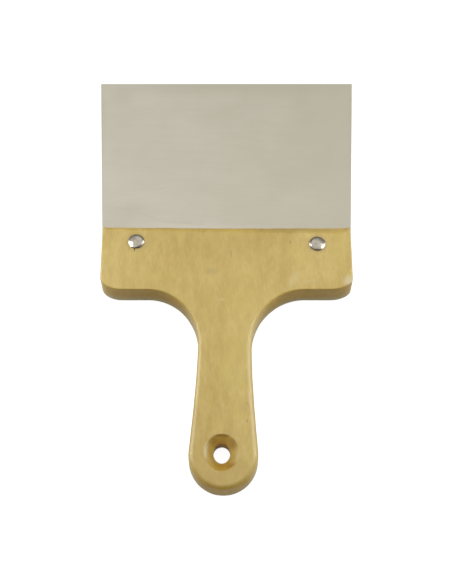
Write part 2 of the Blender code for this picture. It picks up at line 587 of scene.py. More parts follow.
@dataclass(frozen=True)
class SatinSteel:
    """Cold-rolled stainless sheet with a satin face and the faint marks of handling.

    Attributes:
        bright: The metal's colour where the rolls left it brightest.
        dull: The metal's colour where it is dullest.
        roughness: The satin's roughness.
        fall: How much duller the sheet's right side is than its left one.
    """

    bright: Colour = (0.65, 0.615, 0.535)
    dull: Colour = (0.575, 0.543, 0.45)
    roughness: float = 0.36
    fall: float = 0.8

    def make(self, effects: Effects, marks: Iterable[Mark], left: float, right: float) -> Material:
        """Build the material.

        Args:
            effects: The shared groups.
            marks: Stains, scratches and a painted shadow, the first one lowest.
            left: The x place of the sheet's left side.
            right: The x place of its right side.

        Returns:
            The material.
        """
        surface = Surface("satin_steel", effects)
        graph = surface.graph
        patches = surface.streaks((22.0, 30.0, 1.0), 3.0, 0.2)
        rolling = surface.streaks((60.0, 900.0, 60.0), 2.0, 0.25)
        across = graph.separated(surface.vector)["X"]
        dulling = graph.remap(across, left, right, 0.0, self.fall)
        tone = graph.math("MULTIPLY_ADD", patches, 0.35, graph.times(rolling, 0.15))
        tone = graph.math("ADD", tone, dulling, clamp=True)
        colour = surface.marked(graph.mix(tone, self.bright, self.dull), marks)
        rough = graph.math("MULTIPLY_ADD", surface.smudges(40.0, 0.8), 0.03, self.roughness)
        rough = graph.math("MULTIPLY_ADD", rolling, 0.03, rough)
        surface.finish(colour, rough, (rolling, 0.06, 0.02 * MM))
        surface.inputs["Metallic"].default_value = 1.0
        return surface.material


@dataclass(frozen=True)
class NickelPlate:
    """Bright nickel plating, a little scuffed where the riveting tool struck it.

    Attributes:
        bright: The plating's colour.
        scuffed: Its colour where it is scuffed.
        roughness: The roughness of the bright plating.
    """

    bright: Colour = (0.50, 0.475, 0.41)
    scuffed: Colour = (0.35, 0.31, 0.235)
    roughness: float = 0.15

    def make(self, effects: Effects) -> Material:
        """Build the material.

        Args:
            effects: The shared groups.

        Returns:
            The material.
        """
        surface = Surface("nickel_plate", effects)
        graph = surface.graph
        smudges = surface.smudges(420.0, 0.9)
        fine = surface.streaks((2500.0, 600.0, 2500.0), 2.0, 0.25)
        colour = graph.mix(graph.times(smudges, 0.55), self.bright, self.scuffed)
        rough = graph.math("MULTIPLY_ADD", smudges, 0.12, self.roughness)
        rough = graph.math("MULTIPLY_ADD", fine, 0.04, rough)
        surface.finish(colour, rough, (fine, 0.05, 0.02 * MM))
        surface.inputs["Metallic"].default_value = 1.0
        return surface.material


def link_object(name: str, data: bpy.types.ID) -> Piece:
    """Put an object into the scene, at the origin.

    Args:
        name: The object's name.
        data: Its mesh, light or camera.

    Returns:
        The object.
    """
    piece = bpy.data.objects.new(name, data)
    bpy.context.scene.collection.objects.link(piece)
    return piece


def object_from_bmesh(name: str, solid: bmesh.types.BMesh) -> Piece:
    """Turn a bmesh into an object at the origin, and free it.

    Args:
        name: The object's and the mesh's name.
        solid: The bmesh.

    Returns:
        The object.
    """
    mesh = bpy.data.meshes.new(name)
    solid.to_mesh(mesh)
    solid.free()
    return link_object(name, mesh)


def bake_modifiers(piece: Piece) -> None:
    """Replace an object's mesh with its evaluated one and drop its modifiers.

    Args:
        piece: The object.
    """
    evaluated = piece.evaluated_get(bpy.context.evaluated_depsgraph_get())
    mesh = bpy.data.meshes.new_from_object(evaluated)
    former = piece.data
    piece.modifiers.clear()
    piece.data = mesh
    bpy.data.meshes.remove(former)
    mesh.name = piece.name


def cut(piece: Piece, cutters: Sequence[Piece]) -> None:
    """Subtract closed shapes from a piece for good, and remove them.

    Args:
        piece: The object to cut.
        cutters: What to take away from it.
    """
    for cutter in cutters:
        boolean = piece.modifiers.new(cutter.name, "BOOLEAN")
        boolean.operation, boolean.solver, boolean.object = "DIFFERENCE", "EXACT", cutter
    bake_modifiers(piece)
    for cutter in cutters:
        bpy.data.meshes.remove(cutter.data)


def shade(piece: Piece, sharp_angle: float) -> None:
    """Shade a piece smooth with crisp edges above an angle, which is given in radians."""
    piece.data.shade_smooth()
    piece.data.set_sharp_from_angle(angle=sharp_angle)


def grow(name: str, tree: Tree, **values: object) -> Piece:
    """Run a geometry tree once and keep its plain mesh.

    Args:
        name: The new object's name.
        tree: The geometry tree.
        values: What to feed its inputs, by keyword.

    Returns:
        The object with the grown mesh.
    """
    identifiers = {item.name: item.identifier for item in tree.interface.items_tree}
    piece = link_object(name, bpy.data.meshes.new(name))
    nodes = piece.modifiers.new("geometry", "NODES")
    nodes.node_group = tree
    for keyword, value in values.items():
        nodes[identifiers[socket_label(keyword)]] = value
    bake_modifiers(piece)
    return piece


def prism(name: str, outline: Sequence[Point], low: float, high: float) -> Piece:
    """Make a closed upright solid.

    Args:
        name: The object's name.
        outline: (x, y) points, anticlockwise.
        low: The height of its floor.
        high: The height of its top.

    Returns:
        The object.
    """
    solid = bmesh.new()
    floor = [solid.verts.new((x, y, low)) for x, y in outline]
    top = [solid.verts.new((x, y, high)) for x, y in outline]
    solid.faces.new(list(reversed(floor)))
    solid.faces.new(top)
    for index in range(len(outline)):
        after = (index + 1) % len(outline)
        solid.faces.new((floor[index], floor[after], top[after], top[index]))
    return object_from_bmesh(name, solid)


def turned(
    name: str, profile: Sequence[Point], place: Point, stretch: float = 1.0, steps: int = 96
) -> Piece:
    """Spin a profile about Z.

    Args:
        name: The object's name.
        profile: (radius, height) points, which start and end on the axis.
        place: The axis's place.
        stretch: How much longer the result is along Y than across X.
        steps: The number of steps round the axis.

    Returns:
        The object, a closed solid.
    """
    solid = bmesh.new()
    points = [solid.verts.new((radius, 0.0, height)) for radius, height in profile]
    edges = [solid.edges.new(pair) for pair in zip(points, points[1:])]
    axis = {"cent": ORIGIN, "axis": (0.0, 0.0, 1.0), "angle": math.tau}
    bmesh.ops.spin(solid, geom=points + edges, steps=steps, **axis)
    bmesh.ops.remove_doubles(solid, verts=solid.verts, dist=MERGE_DISTANCE)
    bmesh.ops.recalc_face_normals(solid, faces=solid.faces)
    bmesh.ops.scale(solid, vec=(1.0, stretch, 1.0), verts=solid.verts)
    bmesh.ops.translate(solid, vec=(*place, 0.0), verts=solid.verts)
    return object_from_bmesh(name, solid)


def finish_piece(piece: Piece, node: str) -> None:
    """Hand a finished piece to the frame.

    Args:
        piece: The object, at the origin.
        node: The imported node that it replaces.
    """
    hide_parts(node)
    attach(piece, ROOT_BODY)
    piece.data.calc_loop_triangles()
    size = [round(value / MM, 1) for value in piece.dimensions]
    log.info("%s: %d triangles, %s mm", piece.name, len(piece.data.loop_triangles), size)


@dataclass(frozen=True)
class Softness:
    """How far the handle's edges are rounded over one zone, from its start to its end.

    Attributes:
        front: The front edge's radius at the start and at the end.
        back: The back edge's radius at the start and at the end.
        flat: How much the rounding is flattened to a chamfer at the start and the end, 0 to 1.
        reach: How many times as far the front rounding reaches inwards as down.
    """

    front: Point
    back: Point
    flat: Point
    reach: Point = (1.0, 1.0)

    @classmethod
    def of(cls, front: Point, back: Point, flat: Point, reach: Point = (1.0, 1.0)) -> Softness:
        """Take the same values with both edges' radii in millimetres."""
        front, back = (tuple(radius * MM for radius in pair) for pair in (front, back))
        return cls(front, back, flat, reach)


SHARED_SOFTNESS = {
    Zone.HEAD_SIDE: Softness.of((1.0, 1.6), (1.2, 1.0), (0.2, 0.2)),
    Zone.REAR_CORNER: Softness.of((1.5, 0.6), (0.9, 1.5), (0.2, 0.1)),
    Zone.SHOULDER: Softness.of((0.5, 0.5), (1.5, 1.6), (0.1, 0.1)),
}
SOFTNESS = {
    Side.LEFT: SHARED_SOFTNESS
    | {
        Zone.FRONT_EDGE: Softness.of((3.8, 2.8), (2.4, 2.2), (0.5, 0.4), (1.45, 1.3)),
        Zone.FRONT_CORNER: Softness.of((2.1, 1.2), (2.0, 1.4), (0.1, 0.1)),
        Zone.FILLET: Softness.of((0.5, 2.6), (1.6, 2.4), (0.1, 0.4)),
        Zone.GRIP: Softness.of((2.7, 2.9), (2.6, 2.8), (0.5, 0.5)),
        Zone.END: Softness.of((2.9, 2.9), (3.0, 4.0), (0.3, 0.1)),
    },
    Side.RIGHT: SHARED_SOFTNESS
    | {
        Zone.FRONT_EDGE: Softness.of((3.8, 3.7), (2.4, 2.2), (0.5, 0.95), (1.45, 1.7)),
        Zone.FRONT_CORNER: Softness.of((2.3, 1.3), (2.0, 1.4), (0.5, 0.2)),
        Zone.FILLET: Softness.of((0.6, 3.2), (1.6, 2.8), (0.1, 0.4)),
        Zone.GRIP: Softness.of((3.4, 3.6), (2.8, 3.0), (0.5, 0.5)),
        Zone.END: Softness.of((3.4, 2.9), (3.2, 4.0), (0.3, 0.1)),
    },
}


@dataclass
class RimPoint:
    """One point of the handle's outline.

    Attributes:
        place: Its (x, y) place on the widest section.
        front: The front edge's radius there.
        back: The back edge's radius there.
        flat: How much the rounding is flattened to a chamfer.
        reach: How many times as far the front rounding reaches inwards as down.
        inward: The unit vector into the wood, square to the outline.
    """

    place: Vector
    front: float
    back: float
    flat: float
    reach: float
    inward: Vector = field(default_factory=lambda: Vector((0.0, 0.0)))


def arc(centre: Point, radii: Point, start: float, end: float, steps: int) -> list[Point]:
    """Lay points along an elliptical arc.

    Args:
        centre: The ellipse's centre.
        radii: Its two radii.
        start: The first point's angle, in radians.
        end: The last point's angle.
        steps: The number of steps between them.

    Returns:
        The points, both ends included.
    """
    angles = [start + (end - start) * step / steps for step in range(steps + 1)]
    return [
        (centre[0] + radii[0] * math.cos(angle), centre[1] + radii[1] * math.sin(angle))
        for angle in angles
    ]


def bezier(points: Sequence[Point], steps: int) -> list[Point]:
    """Lay points along a cubic Bezier curve.

    Args:
        points: Its four control points.
        steps: The number of steps along it.

    Returns:
        The points, both ends included.
    """
    curve = []
    for step in range(steps + 1):
        t = step / steps
        weights = ((1 - t) ** 3, 3 * t * (1 - t) ** 2, 3 * t * t * (1 - t), t**3)
        curve.append(tuple(sum(w * p[axis] for w, p in zip(weights, points)) for axis in (0, 1)))
    return curve


def line(start: Point, end: Point, steps: int) -> list[Point]:
    """Lay points along a straight line.

    Args:
        start: The first point.
        end: The last point.
        steps: The number of steps between them.

    Returns:
        The points, both ends included.
    """
    return [
        tuple(a + (b - a) * step / steps for a, b in zip(start, end)) for step in range(steps + 1)
    ]


@dataclass
class Handle:
    """The wooden handle: a wide flat head, a waisted grip and a rounded, bored end.

    Attributes:
        low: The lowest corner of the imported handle's box.
        high: Its highest corner.
        sheet: The heights of the blade's back and front faces.
        tang_end: The y place of the blade's tang end.
        rivets: The rivets' (x, y) places by side.
        hole: The hanging hole's (x, y) place.
    """

    low: Vector
    high: Vector
    sheet: Point
    tang_end: float
    rivets: Mapping[Side, Point]
    hole: Point

    head_depth: float = 47.2 * MM
    front_corner: float = 2.5 * MM
    rear_corner_left: Point = (14.0 * MM, 9.6 * MM)
    rear_corner_right: Point = (14.5 * MM, 8.6 * MM)
    fillet: Point = (34.9 * MM, 39.0 * MM)
    waist_width: float = 34.4 * MM
    bulb_width: float = 43.0 * MM
    bulb_distance: float = 158.4 * MM
    grip_handles: Point = (0.385, 0.945)
    grip_offset: float = 1.95 * MM
    lean_power: float = 0.6

    bore_radius: float = 5.2 * MM
    bore_offset: float = 1.5 * MM
    hole_stretch: float = 1.13
    countersink_radius: float = 10.45 * MM
    countersink_depth: float = 6.8 * MM
    countersink_lip: float = 0.5 * MM
    lip_steps: int = 6

    shank_clearance: float = 2.85 * MM
    kerf_clearance: float = 0.05 * MM
    split_offset: float = 1.15 * MM
    split_length: float = 8.0 * MM
    split_width: float = 0.55 * MM
    split_depth: float = 1.2 * MM

    cap_support: float = 0.12 * MM
    round_steps: int = 8
    wall_steps: int = 4
    smoothing_rounds: int = 10
    waviness: float = 0.07 * MM
    sharp_angle: float = math.radians(32.0)

    def lean(self, distance: float) -> float:
        """How far the grip's centre line lies from the head's, at a distance behind the front."""
        share = (distance - self.head_depth) / (self.bulb_distance - self.head_depth)
        return -self.grip_offset * min(1.0, max(0.0, share)) ** self.lean_power

    def zone_points(self, side: Side) -> dict[Zone, list[Point]]:
        """Lay out one side of the handle.

        Args:
            side: The side to lay out.

        Returns:
            (half width, distance behind the front edge) points by zone.
        """
        head = (self.high.x - self.low.x) / 2
        waist, bulb = self.waist_width / 2, self.bulb_width / 2
        length = self.high.y - self.low.y
        corner, depth = self.front_corner, self.head_depth
        rear = self.rear_corner_left if side is Side.LEFT else self.rear_corner_right
        across, along = self.fillet
        quarter = math.pi / 2
        fillet_end = depth + along
        run = self.bulb_distance - fillet_end
        grip = (
            (waist, fillet_end),
            (waist, fillet_end + self.grip_handles[0] * run),
            (bulb, fillet_end + self.grip_handles[1] * run),
            (bulb, self.bulb_distance),
        )
        end_radii = (bulb, length - self.bulb_distance)
        fillet_centre = (waist + across, fillet_end)
        return {
            Zone.FRONT_EDGE: line((0.0, 0.0), (head - corner, 0.0), 90),
            Zone.FRONT_CORNER: arc((head - corner, corner), (corner, corner), -quarter, 0.0, 14),
            Zone.HEAD_SIDE: line((head, corner), (head, depth - rear[1]), 34),
            Zone.REAR_CORNER: arc((head - rear[0], depth - rear[1]), rear, 0.0, quarter, 26),
            Zone.SHOULDER: line((head - rear[0], depth), (waist + across, depth), 30),
            Zone.FILLET: arc(fillet_centre, (across, along), -quarter, -2 * quarter, 64),
            Zone.GRIP: bezier(grip, 60),
            Zone.END: arc((0.0, self.bulb_distance), end_radii, 0.0, quarter, 60),
        }

    def side_rim(self, side: Side) -> list[RimPoint]:
        """Lay out one side's rim points, from the middle of the front edge to the end.

        Args:
            side: The side to lay out.

        Returns:
            The rim points without their inward vectors.
        """
        sign = 1.0 if side is Side.RIGHT else -1.0
        rim: list[RimPoint] = []
        for zone, points in self.zone_points(side).items():
            soft = SOFTNESS[side][zone]
            for index, (half, distance) in enumerate(points):
                share = index / (len(points) - 1)
                place = Vector((sign * half + self.lean(distance), self.high.y - distance))
                if rim and (rim[-1].place - place).length < MERGE_DISTANCE:
                    continue
                ranges = (soft.front, soft.back, soft.flat, soft.reach)
                values = (start + (end - start) * share for start, end in ranges)
                rim.append(RimPoint(place, *values))
        return rim

    def rim(self) -> list[RimPoint]:
        """Lay out the whole rim, anticlockwise seen from the front.

        Returns:
            The rim points, with the change from zone to zone smoothed out.
        """
        left, right = self.side_rim(Side.LEFT), self.side_rim(Side.RIGHT)
        loop = left + list(reversed(right[1:-1]))
        self.smooth(loop)
        for index, point in enumerate(loop):
            before = (point.place - loop[index - 1].place).normalized()
            after = (loop[(index + 1) % len(loop)].place - point.place).normalized()
            tangent = (before + after).normalized()
            point.inward = Vector((-tangent.y, tangent.x))
        for point in loop:
            spot = Vector((point.place.x, point.place.y, 0.0))
            sway = noise.noise(spot * 120.0) + 0.4 * noise.noise(spot * 420.0)
            point.place = point.place + point.inward * self.waviness * (0.8 + sway)
            swell = 1.0 + 0.10 * noise.noise(spot * 90.0 + Vector((7.0, 3.0, 1.0)))
            point.front *= swell
            point.back *= swell
        return loop

    def smooth(self, loop: list[RimPoint]) -> None:
        """Average the edge radii along the rim, point by point with the neighbours.

        Args:
            loop: The rim points, changed in place.
        """
        for _ in range(self.smoothing_rounds):
            for name in ("front", "back", "flat", "reach"):
                values = [getattr(point, name) for point in loop]
                for index, point in enumerate(loop):
                    after = values[(index + 1) % len(loop)]
                    setattr(point, name, (values[index - 1] + 2 * values[index] + after) / 4)

    def rounded(self, radius: float, reach: float, flat: float) -> list[Point]:
        """Shape one rounded edge.

        Args:
            radius: How far it reaches down.
            reach: How many times as far it reaches inwards.
            flat: How much it is flattened to a chamfer.

        Returns:
            (inset, drop) points from the face to the wall.
        """
        steps = []
        for step in range(self.round_steps + 1):
            share = step / self.round_steps
            angle = share * math.pi / 2
            inset = (1 - flat) * (1 - math.sin(angle)) + flat * (1 - share)
            drop = (1 - flat) * (1 - math.cos(angle)) + flat * share
            steps.append((radius * reach * inset, radius * drop))
        return steps

    def section(self, point: RimPoint) -> list[Point]:
        """Shape the handle's rim at one point.

        Args:
            point: The rim point.

        Returns:
            (inset, height) points from the front face round to the back face.
        """
        front = self.rounded(point.front, point.reach, point.flat)
        back = self.rounded(point.back, 1.0, point.flat)
        top, bottom = self.high.z - point.front, self.low.z + point.back
        section = [(point.front * point.reach + self.cap_support, self.high.z)]
        section += [(inset, self.high.z - drop) for inset, drop in front]
        for step in range(1, self.wall_steps):
            section.append((0.0, top + (bottom - top) * step / self.wall_steps))
        section += [(inset, self.low.z + drop) for inset, drop in reversed(back)]
        return section + [(point.back + self.cap_support, self.low.z)]

    def blank(self) -> Piece:
        """Loft the uncut handle from its rim's sections, and cap both faces.

        Returns:
            The closed blank.
        """
        solid = bmesh.new()
        columns = []
        for point in self.rim():
            column = []
            for inset, height in self.section(point):
                x, y = point.place + point.inward * inset
                column.append(solid.verts.new((x, y, height)))
            columns.append(column)
        for index, column in enumerate(columns):
            after = columns[(index + 1) % len(columns)]
            for upper in range(len(column) - 1):
                solid.faces.new((column[upper], column[upper + 1], after[upper + 1], after[upper]))
        solid.faces.new([column[0] for column in columns])
        solid.faces.new([column[-1] for column in reversed(columns)])
        bmesh.ops.recalc_face_normals(solid, faces=solid.faces)
        return object_from_bmesh("wooden_handle", solid)

    def kerf_cutter(self) -> Piece:
        """Make the saw kerf that takes the blade's tang.

        Returns:
            The cutter.
        """
        over = 5 * MM
        half = (self.high.x - self.low.x) / 2 + over
        back, front = self.tang_end - self.kerf_clearance, self.high.y + over
        outline = [(-half, back), (half, back), (half, front), (-half, front)]
        low, high = self.sheet
        return prism("kerf", outline, low - self.kerf_clearance, high + self.kerf_clearance)

    def split_cutter(self) -> Piece:
        """Make the short split that the left rivet opened in the front face, along the grain.

        Returns:
            The cutter.
        """
        x, y = self.rivets[Side.LEFT]
        start = x - self.split_offset
        half = self.split_width / 2
        near, far = 3 * MM, 0.7 * self.split_length
        outline = [
            (start, y - self.split_length),
            (start + half, y - far),
            (start + half, y - near),
            (start - half, y - near),
            (start - 0.8 * half, y - far),
        ]
        return prism("split", outline, self.high.z - self.split_depth, self.high.z + MM)

    def drill(self, name: str, radius: float, place: Point, **shape: float) -> Piece:
        """Make a straight drill that stands out past both faces.

        Args:
            name: The cutter's name.
            radius: Its radius.
            place: Its (x, y) place.
            shape: The stretch and the steps of turned().

        Returns:
            The cutter.
        """
        over = 1 * MM
        top, bottom = self.high.z + over, self.low.z - over
        profile = [(0.0, top), (radius, top), (radius, bottom), (0.0, bottom)]
        return turned(name, profile, place, **shape)

    def countersinks(self) -> Piece:
        """Make the hanging hole's two countersinks, with softened lips.

        Returns:
            The cutter.
        """
        over = 1 * MM
        top, bottom = self.high.z, self.low.z
        middle = (top + bottom) / 2
        slope = (self.countersink_radius - self.bore_radius) / self.countersink_depth
        narrow = self.countersink_radius - slope * (top - middle)
        lip = self.countersink_lip
        turn = math.pi / 2 - math.atan(slope)
        lip_middle = self.countersink_radius + lip * math.tan(turn / 2)
        lips = []
        for step in range(self.lip_steps + 1):
            angle = turn * (0.06 + 0.94 * step / self.lip_steps)
            lips.append((lip_middle - lip * math.sin(angle), lip * (1 - math.cos(angle))))
        widest = lips[0][0]
        profile = [(0.0, top + over), (widest, top + over)]
        profile += [(radius, top - drop) for radius, drop in lips] + [(narrow, middle)]
        profile += [(radius, bottom + drop) for radius, drop in reversed(lips)]
        profile += [(widest, bottom - over), (0.0, bottom - over)]
        return turned("countersinks", profile, self.hole, self.hole_stretch)

    def build(self, wood: Material) -> Piece:
        """Make the handle.

        Args:
            wood: Its finish.

        Returns:
            The finished handle.
        """
        piece = self.blank()
        x, y = self.hole
        place = (x, y + self.bore_offset)
        cutters = [self.kerf_cutter(), self.split_cutter(), self.countersinks()]
        cutters.append(self.drill("bore", self.bore_radius, place, stretch=self.hole_stretch))
        for side, place in self.rivets.items():
            cutters.append(self.drill(f"shank_{side.value}", self.shank_clearance, place, steps=32))
        cut(piece, cutters)
        shade(piece, self.sharp_angle)
        piece.data.materials.clear()
        piece.data.materials.append(wood)
        return piece

    def marks(self) -> list[Mark]:
        """List the marks on the wood, the lowest first: flecks and stains, and patches of painted
        shade and painted highlight.

        Returns:
            The marks.
        """
        face, front = self.high.z, self.high.y
        dark, brown = (0.16, 0.09, 0.02), (0.30, 0.19, 0.05)
        light, dull = (0.74, 0.60, 0.26), (0.36, 0.27, 0.10)
        tan, painted_glint = (0.30, 0.11, 0.012), (0.96, 0.88, 0.60)
        hole_x, hole_y = self.hole
        left_x, left_y = self.rivets[Side.LEFT]
        split = (left_x - self.split_offset, left_y - 5.6 * MM, face)
        deep = 8 * MM
        marks = [
            # Painted shade: darker along the front edge's chamfer, stronger on the right, where the
            # band faces away from the light.
            Mark((0.046, front, face), (0.050, 0.0072), (0.33, 0.26, 0.12), 0.36, 0.0, 0.6, 6 * MM),
            Mark((-0.046, front, face), (0.048, 0.005), brown, 0.07, 0.0, 0.7, 6 * MM),
            Mark((-0.008, front - 0.052, face), (0.062, 0.064), (0.84, 0.64, 0.19), 0.14),
            Mark((-0.002, self.low.y, face), (0.034, 0.040), (0.36, 0.20, 0.03), 0.27),
            Mark((-0.066, front - 0.030, face), (0.022, 0.030), light, 0.05),
            Mark((0.060, front - 0.030, face), (0.026, 0.022), light, 0.04),
            Mark((0.0435, front - 0.0405, face), (0.0045, 0.0105), light, 0.55, 0.5),
            Mark((0.0535, front - 0.0415, face), (0.007, 0.0025), light, 0.35, -0.2),
            Mark((0.0422, front - 0.0125, face), (0.0006, 0.0022), dark, 0.55, 0.0, 0.8),
            Mark((0.0030, front - 0.0215, face), (0.0005, 0.0042), dark, 0.40, 0.0, 0.8),
            Mark((-0.0155, front - 0.0045, face), (0.0005, 0.0020), dark, 0.40, 0.0, 0.8),
            Mark((-0.0100, front - 0.0340, face), (0.0075, 0.0038), dull, 0.30),
            Mark((0.002, front - 0.018, face), (0.045, 0.026), (0.45, 0.32, 0.07), 0.16),
            # A pale patch on the right rear corner: partly wear, partly a painted highlight.
            Mark((0.0800, front - 0.0415, face), (0.0055, 0.0065), (0.86, 0.80, 0.58), 0.50),
            Mark((-0.0030, front - 0.0545, face), (0.0030, 0.0018), light, 0.45),
            Mark((-0.0025, front - 0.1275, face), (0.0011, 0.0040), light, 0.35),
            Mark((0.0125, front - 0.1375, face), (0.0008, 0.0016), brown, 0.55, 0.0, 0.8),
            Mark((0.0128, front - 0.1260, face), (0.0007, 0.0012), brown, 0.45, 0.0, 0.8),
            # Painted highlights on the hanging hole's left and right walls.
            Mark((hole_x - 0.0082, hole_y + 0.0010, face), (0.0038, 0.0072), painted_glint, 1.0),
            Mark((hole_x + 0.0082, hole_y - 0.0010, face), (0.0026, 0.0062), painted_glint, 0.75),
            # Tan patches in the hanging hole: on its upper wall and along its top rim they are
            # painted shade; the last one darkens its lower right to orange.
            Mark((hole_x - 0.0045, hole_y + 0.0070, face), (0.0040, 0.0045), tan, 0.60, depth=deep),
            Mark((hole_x + 0.0065, hole_y + 0.0055, face), (0.0040, 0.0050), tan, 0.65, depth=deep),
            Mark((hole_x, hole_y + 0.0110, face), (0.0075, 0.0012), tan, 0.55, 0.0, 0.8),
            Mark((hole_x + 0.0045, hole_y - 0.0075, face), (0.0050, 0.0032), tan, 0.60, depth=deep),
            Mark(split, (0.0006, 0.0022), dark, 0.85, 0.0, 0.7),
        ]
        # A brown ring round each rivet head: dirt at the seat and painted contact shade under and
        # around the head.
        for x, y in self.rivets.values():
            marks.append(Mark((x, y, face), (0.0085, 0.0088), brown, 0.35, 0.0, 0.55))
        return marks

    def finish(self, wood: LacqueredHardwood, effects: Effects) -> Material:
        """Make the handle's material.

        Args:
            wood: The wood's finish.
            effects: The shared groups.

        Returns:
            The material.
        """
        skin, margin = 0.35 * MM, 0.1 * MM
        radius = self.countersink_radius + margin
        half_depth = (self.high.z - self.low.z) / 2 - skin
        place = (*self.hole, (self.low.z + self.high.z) / 2)
        reach = (radius, radius * self.hole_stretch, half_depth)
        return wood.make(effects, self.marks(), place, reach)


@dataclass
class Blade:
    """The steel sheet, which widens evenly from its tang to the working edge.

    Attributes:
        low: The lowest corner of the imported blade's box.
        high: Its highest corner.
        rivets: The rivets' (x, y) places by side.
        wood_front: The y place of the handle's front edge.
    """

    low: Vector
    high: Vector
    rivets: Mapping[Side, Point]
    wood_front: float

    flare: float = math.radians(3.0)
    ease: float = 0.12 * MM
    hole_radius: float = 2.85 * MM
    columns: int = 61
    rows: int = 49
    layers: int = 5
    sharp_angle: float = math.radians(38.0)

    @staticmethod
    def easing(group: Group, along: Socket, half: Socket, inset: Socket) -> Socket:
        """Work out how far the eased rim draws a point in along one axis.

        Args:
            group: The sheet's group.
            along: The point's place on the axis.
            half: The box's half size on the axis.
            inset: How far a rim point at this height moves.

        Returns:
            The move, to be taken from the place.
        """
        nearly_all = 0.999
        away = group.math("ABSOLUTE", along)
        on_rim = group.math("GREATER_THAN", away, group.times(half, nearly_all))
        return group.times(group.math("SIGN", along), group.times(inset, on_rim))

    def tree(self) -> Tree:
        """Wire the sheet: a box of points, drawn to its flare, eased at its rim and drilled.

        Returns:
            The tree.
        """
        sizes = {"edge_width": 0.18, "length": 0.14, "thickness": 0.0006}
        holes = {"hole_radius": 0.003, "left_hole": ORIGIN, "right_hole": ORIGIN}
        shape = {"middle": ORIGIN, "flare": 0.05, "ease": 0.0001}
        group = Group("flared_sheet", "Geometry", **sizes, **shape, **holes, steel=None)
        take = group.take
        size = [take[name] for name in sizes]
        counts = {"Vertices X": self.columns, "Vertices Y": self.rows, "Vertices Z": self.layers}
        box = group.node("GeometryNodeMeshCube", {"Size": group.combined(*size)} | counts)
        x, y, z = group.separated(group.node("GeometryNodeInputPosition").outputs[0])
        half_width, half_length, half_sheet = (group.times(socket, 0.5) for socket in size)

        level = group.math("DIVIDE", z, half_sheet)
        under = group.minus(1.0, group.times(level, level), clamp=True)
        inset = group.times(group.minus(1.0, group.math("SQRT", under)), take["ease"])
        slope = group.math("TANGENT", take["flare"])
        narrowing = group.times(group.minus(half_length, y), slope)
        share = group.math("DIVIDE", group.minus(half_width, narrowing), half_width)
        eased_x = group.minus(group.times(x, share), self.easing(group, x, half_width, inset))
        eased_y = group.minus(y, self.easing(group, y, half_length, inset))
        inputs = {"Geometry": box.outputs["Mesh"], "Position": group.combined(eased_x, eased_y, z)}
        shaped = group.node("GeometryNodeSetPosition", inputs).outputs[0]
        moved = group.moved(shaped, take["middle"])

        drilled = group.node(
            "GeometryNodeMeshBoolean", {0: moved}, operation="DIFFERENCE", solver="EXACT"
        )
        drill = {"Vertices": 48, "Radius": take["hole_radius"], "Depth": 4 * MM}
        drills = group.node("GeometryNodeJoinGeometry")
        for hole in ("left_hole", "right_hole"):
            cylinder = group.node("GeometryNodeMeshCylinder", drill).outputs["Mesh"]
            group.feed(drills.inputs[0], group.moved(cylinder, take[hole]))
        group.feed(drilled.inputs[1], drills.outputs[0])
        return group.close_mesh(drilled.outputs["Mesh"], take["steel"])

    def build(self, steel: Material) -> Piece:
        """Make the sheet.

        Args:
            steel: Its finish.

        Returns:
            The finished blade.
        """
        middle = (self.low + self.high) / 2
        size = self.high - self.low
        piece = grow(
            "steel_blade",
            self.tree(),
            edge_width=size.x,
            length=size.y,
            thickness=size.z,
            middle=middle,
            flare=self.flare,
            ease=self.ease,
            hole_radius=self.hole_radius,
            left_hole=Vector((*self.rivets[Side.LEFT], middle.z)),
            right_hole=Vector((*self.rivets[Side.RIGHT], middle.z)),
            steel=steel,
        )
        shade(piece, self.sharp_angle)
        return piece

    def marks(self) -> list[Mark]:
        """List the stains, scratches and painted shadow on the sheet, the lowest first.

        Returns:
            The marks.
        """
        z = self.high.z
        front, back = self.high.y, self.wood_front
        dark, pale = (0.50, 0.47, 0.375), (0.74, 0.71, 0.61)
        return [
            Mark((0.0, front, z), (0.120, 0.016), dark, 0.45),
            Mark((self.low.x, front - 0.06, z), (0.006, 0.080), dark, 0.40),
            Mark((self.high.x, front - 0.06, z), (0.006, 0.080), dark, 0.40),
            Mark((-0.075, front - 0.010, z), (0.012, 0.012), dark, 0.25),
            Mark((-0.070, back, z), (0.040, 0.026), dark, 0.22),
            Mark((0.075, back, z), (0.040, 0.026), dark, 0.16),
            # Painted contact shadow and painted reflection of the wood on the blade, along the
            # wood's front edge.
            Mark((0.0, back, z), (0.200, 0.0022), (0.42, 0.35, 0.20), 0.55, 0.0, 0.7),
            Mark((-0.060, back + 0.017, z), (0.030, 0.010), dark, 0.22),
            Mark((-0.020, back + 0.004, z), (0.060, 0.004), pale, 0.25, 0.03),
            Mark((-0.030, back + 0.007, z), (0.028, 0.0005), dark, 0.40, 0.10, 0.8),
            Mark((-0.052, back + 0.012, z), (0.012, 0.0005), dark, 0.40, 0.35, 0.8),
            Mark((-0.070, back + 0.018, z), (0.006, 0.0006), dark, 0.40, 0.25, 0.8),
            Mark((-0.044, back + 0.034, z), (0.005, 0.0006), dark, 0.30, -0.3, 0.8),
        ]


@dataclass(frozen=True)
class Crown:
    """How one rivet's crown was pressed out of true.

    Attributes:
        tilt: The crown's slope along X and Y.
        shift: How far the crown stands off the rivet's axis.
        flat_place: A point of the flat that the tool left.
        flat_heading: The way that the flat faces.
    """

    tilt: Place
    shift: Place
    flat_place: Place
    flat_heading: Place


